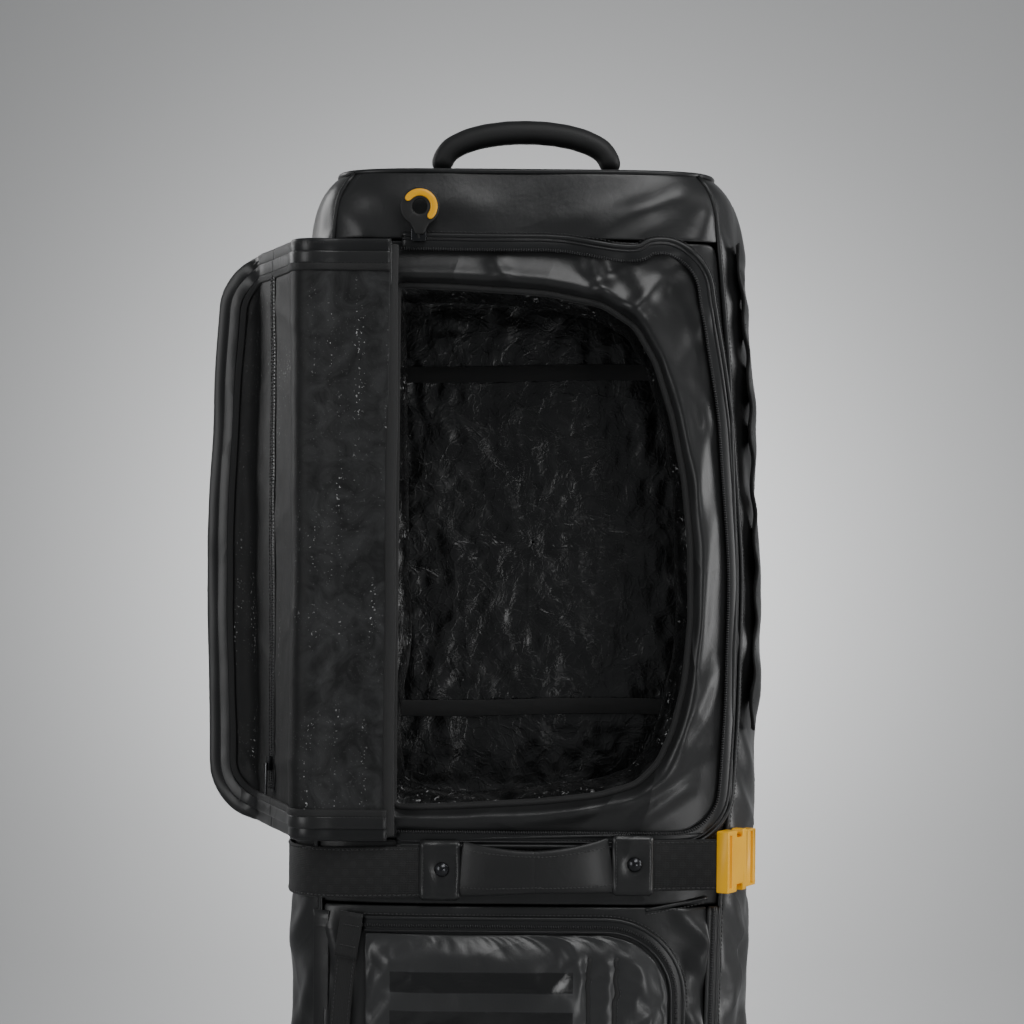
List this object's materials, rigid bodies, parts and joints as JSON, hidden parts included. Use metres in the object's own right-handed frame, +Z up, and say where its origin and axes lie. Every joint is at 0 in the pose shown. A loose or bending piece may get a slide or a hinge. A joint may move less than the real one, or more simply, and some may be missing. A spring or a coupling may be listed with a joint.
{
  "type": "wheeled snowboard bag",
  "caption": "Tall soft-sided snowboard roller bag with a zipped boot compartment flap, a lower lid with a pocket, strap and buckle, haul handle, skid rails and wheels.",
  "frame": {"origin": "on the floor under the middle of the base pad, with the bag standing upright on its base", "axes": "+X to the right as seen from the front, -Y out of the front (the zipped side), +Z up along the bag's length"},
  "size_m": [0.5406, 0.3129, 1.6997],
  "materials": {
    "tarpaulin": "satin",
    "lining": "gloss",
    "webbing": "matte",
    "zip_tape": "matte",
    "stiffener": "matte",
    "black_plastic": "matte",
    "black_rubber": "matte",
    "tyre": "matte",
    "yellow_plastic": "satin",
    "dark_metal": "satin"
  },
  "bodies": {
    "shell": {"back_panel": "tarpaulin", "side_panel_right": "tarpaulin", "side_panel_left": "tarpaulin", "front_top_panel": "tarpaulin", "end_panel_top": "tarpaulin", "boot_collar": "tarpaulin", "mid_band_panel": "tarpaulin", "keeper_tab_left": "tarpaulin", "keeper_tab_right": "tarpaulin", "boot_compartment_floor": "lining", "boot_compartment_roof": "lining", "boot_compartment_divider": "lining", "board_strap_lower": "webbing", "board_strap_upper": "webbing", "strap_left": "webbing", "strap_right": "webbing", "strap_side": "webbing", "lash_webbing_left": "webbing", "lash_webbing_right": "webbing", "haul_handle_anchor_left": "webbing", "haul_handle_anchor_right": "webbing", "boot_zip_tape": "zip_tape", "lid_zip_tape": "zip_tape", "back_stiffener_board": "stiffener", "base_tray": "black_plastic", "wheel_housing_left": "black_plastic", "wheel_housing_right": "black_plastic", "skid_rail_left": "black_plastic", "skid_rail_right": "black_plastic", "base_pad": "black_rubber", "buckle_socket": "yellow_plastic", "wheel_axle_left": "dark_metal", "wheel_axle_right": "dark_metal", "keeper_rivet_left": "dark_metal", "keeper_rivet_right": "dark_metal"},
    "flap_inner": {"flap_hinge_band": "tarpaulin"},
    "flap_outer": {"flap_panel": "tarpaulin"},
    "flap_edge": {"flap_edge_panel": "tarpaulin"},
    "flap_pocket_slide_body": {"flap_pocket_slider": "dark_metal"},
    "flap_pocket_puller_body": {"flap_pocket_puller": "dark_metal"},
    "boot_zip_slide_body": {"boot_zip_slider": "dark_metal"},
    "boot_pull_body": {"boot_pull_loop": "black_rubber", "boot_pull_inlay": "yellow_plastic"},
    "lid": {"lower_lid": "tarpaulin", "lower_pocket": "tarpaulin", "lower_pocket_zip_tape": "zip_tape", "lid_side_strap": "webbing"},
    "lower_pocket_slide_body": {"lower_pocket_slider": "dark_metal"},
    "lower_pocket_puller_body": {"lower_pocket_puller": "black_rubber"},
    "lid_zip_slide_body": {"lid_zip_slider": "dark_metal"},
    "lid_zip_puller_body": {"lid_zip_puller": "black_rubber"},
    "haul_handle_body": {"haul_handle": "black_rubber"},
    "carry_handle_body": {"carry_handle": "webbing"},
    "buckle_plug_body": {"buckle_plug": "yellow_plastic"},
    "wheel_left": {"wheel_tyre_left": "tyre", "wheel_hub_left": "black_plastic"},
    "wheel_right": {"wheel_tyre_right": "tyre", "wheel_hub_right": "black_plastic"}
  },
  "joints": [
    {"name": "flap_hinge", "type": "hinge", "parent": "shell", "child": "flap_inner", "pos_m": [-0.123, -0.153, 1.286], "axis": [0, 0, 1], "range_deg": [0, 180]},
    {"name": "flap_fold", "type": "hinge", "parent": "flap_inner", "child": "flap_outer", "pos_m": [-0.206, -0.153, 1.286], "axis": [0, 0, 1], "range_deg": [0, 72]},
    {"name": "flap_edge_fold", "type": "hinge", "parent": "flap_outer", "child": "flap_edge", "pos_m": [-0.26752, 0.01207, 1.286], "axis": [0, 0, -1], "range_deg": [0, 38]},
    {"name": "boot_zip_slide", "type": "slide", "parent": "shell", "child": "boot_zip_slide_body", "axis": [1, 0, 0], "range_m": [0, 0.24]},
    {"name": "boot_pull_swing", "type": "hinge", "parent": "boot_zip_slide_body", "child": "boot_pull_body", "pos_m": [-0.101, -0.152, 1.574], "axis": [1, 0, 0], "range_deg": [0, 145]},
    {"name": "flap_pocket_slide", "type": "slide", "parent": "flap_outer", "child": "flap_pocket_slide_body", "axis": [0, 0, 1], "range_m": [0, 0.35]},
    {"name": "flap_pocket_pull_swing", "type": "hinge", "parent": "flap_pocket_slide_body", "child": "flap_pocket_puller_body", "pos_m": [-0.24838, -0.06162, 1.068], "axis": [-0.309, 0.9511, 0], "range_deg": [0, 165]},
    {"name": "lid_hinge", "type": "hinge", "parent": "shell", "child": "lid", "pos_m": [-0.196, -0.132, 0.52], "axis": [0, 0, -1], "range_deg": [0, 160]},
    {"name": "lower_pocket_slide", "type": "slide", "parent": "lid", "child": "lower_pocket_slide_body", "axis": [0, -0.007, 1], "range_m": [0, 0.3]},
    {"name": "lower_pocket_pull_swing", "type": "hinge", "parent": "lower_pocket_slide_body", "child": "lower_pocket_puller_body", "pos_m": [0.147, -0.14764, 0.52], "axis": [-1, 0, 0], "range_deg": [0, 165]},
    {"name": "lid_zip_slide", "type": "slide", "parent": "shell", "child": "lid_zip_slide_body", "axis": [0.0107, -0.008, 0.9999], "range_m": [0, 0.76]},
    {"name": "lid_zip_pull_swing", "type": "hinge", "parent": "lid_zip_slide_body", "child": "lid_zip_puller_body", "pos_m": [0.17904, -0.13042, 0.14], "axis": [-0.7986, -0.6018, 0], "range_deg": [0, 165]},
    {"name": "haul_handle_swing", "type": "hinge", "parent": "shell", "child": "haul_handle_body", "pos_m": [0, -0.012, 1.6631], "axis": [1, 0, 0], "range_deg": [-50, 50]},
    {"name": "carry_handle_lift", "type": "slide", "parent": "shell", "child": "carry_handle_body", "axis": [0, -1, 0], "range_m": [0, 0.028]},
    {"name": "buckle_release", "type": "slide", "parent": "shell", "child": "buckle_plug_body", "axis": [0.5, 0.866, 0], "range_m": [0, 0.04]},
    {"name": "wheel_left_spin", "type": "hinge", "parent": "shell", "child": "wheel_left", "pos_m": [-0.172, 0.112, 0.038], "axis": [1, 0, 0], "continuous": true},
    {"name": "wheel_right_spin", "type": "hinge", "parent": "shell", "child": "wheel_right", "pos_m": [0.172, 0.112, 0.038], "axis": [1, 0, 0], "continuous": true}
  ],
  "couplings": [
    {"joint": "flap_fold", "follows": "flap_hinge", "ratio": 0.4},
    {"joint": "flap_edge_fold", "follows": "flap_hinge", "ratio": 0.21111}
  ]
}
